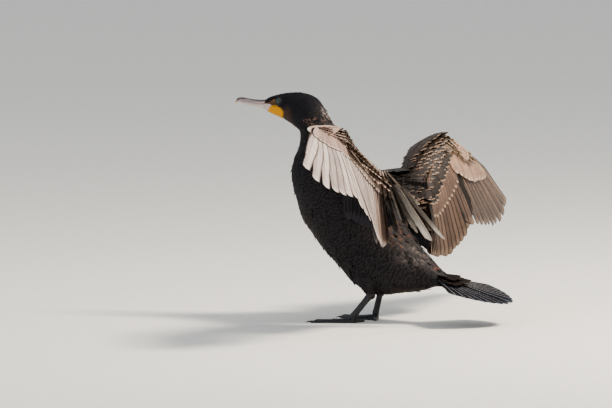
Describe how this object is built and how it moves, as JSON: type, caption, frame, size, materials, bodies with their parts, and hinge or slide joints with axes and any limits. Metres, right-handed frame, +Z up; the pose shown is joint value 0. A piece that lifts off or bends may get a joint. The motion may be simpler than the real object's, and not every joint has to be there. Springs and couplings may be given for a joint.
{
  "type": "great cormorant",
  "caption": "Life-size still model of a great cormorant standing with both wings half open to dry, on webbed feet flat on the floor.",
  "frame": {"origin": "middle of the footprint of the whole bird's box, on the floor", "axes": "+Z up, the bill points to -X, the bird's left wing reaches to -Y and its right wing to +Y"},
  "size_m": [0.5208, 1.0716, 0.4],
  "materials": {
    "plumage": "matt black-brown body feathers",
    "wing_plumage": "bronze-brown wing feathers with a silky gloss",
    "tail_plumage": "slate-black stiff tail feathers",
    "bill_horn": "satin grey horn",
    "throat_skin": "bare yellow throat skin",
    "eye": "wet gloss",
    "leg_skin": "black scaled skin"
  },
  "bodies": {
    "root": {"head": "plumage", "neck": "plumage", "torso": "plumage", "gular_pouch": "throat_skin", "left_eye": "eye", "right_eye": "eye", "upper_bill": "bill_horn", "lower_bill": "bill_horn", "tail": "tail_plumage", "left_wing_upper_arm": "wing_plumage", "left_wing_forearm": "wing_plumage", "left_wing_hand": "wing_plumage", "right_wing_upper_arm": "wing_plumage", "right_wing_forearm": "wing_plumage", "right_wing_hand": "wing_plumage", "left_leg": "leg_skin", "right_leg": "leg_skin", "left_foot": "leg_skin", "right_foot": "leg_skin"}
  },
  "joints": []
}
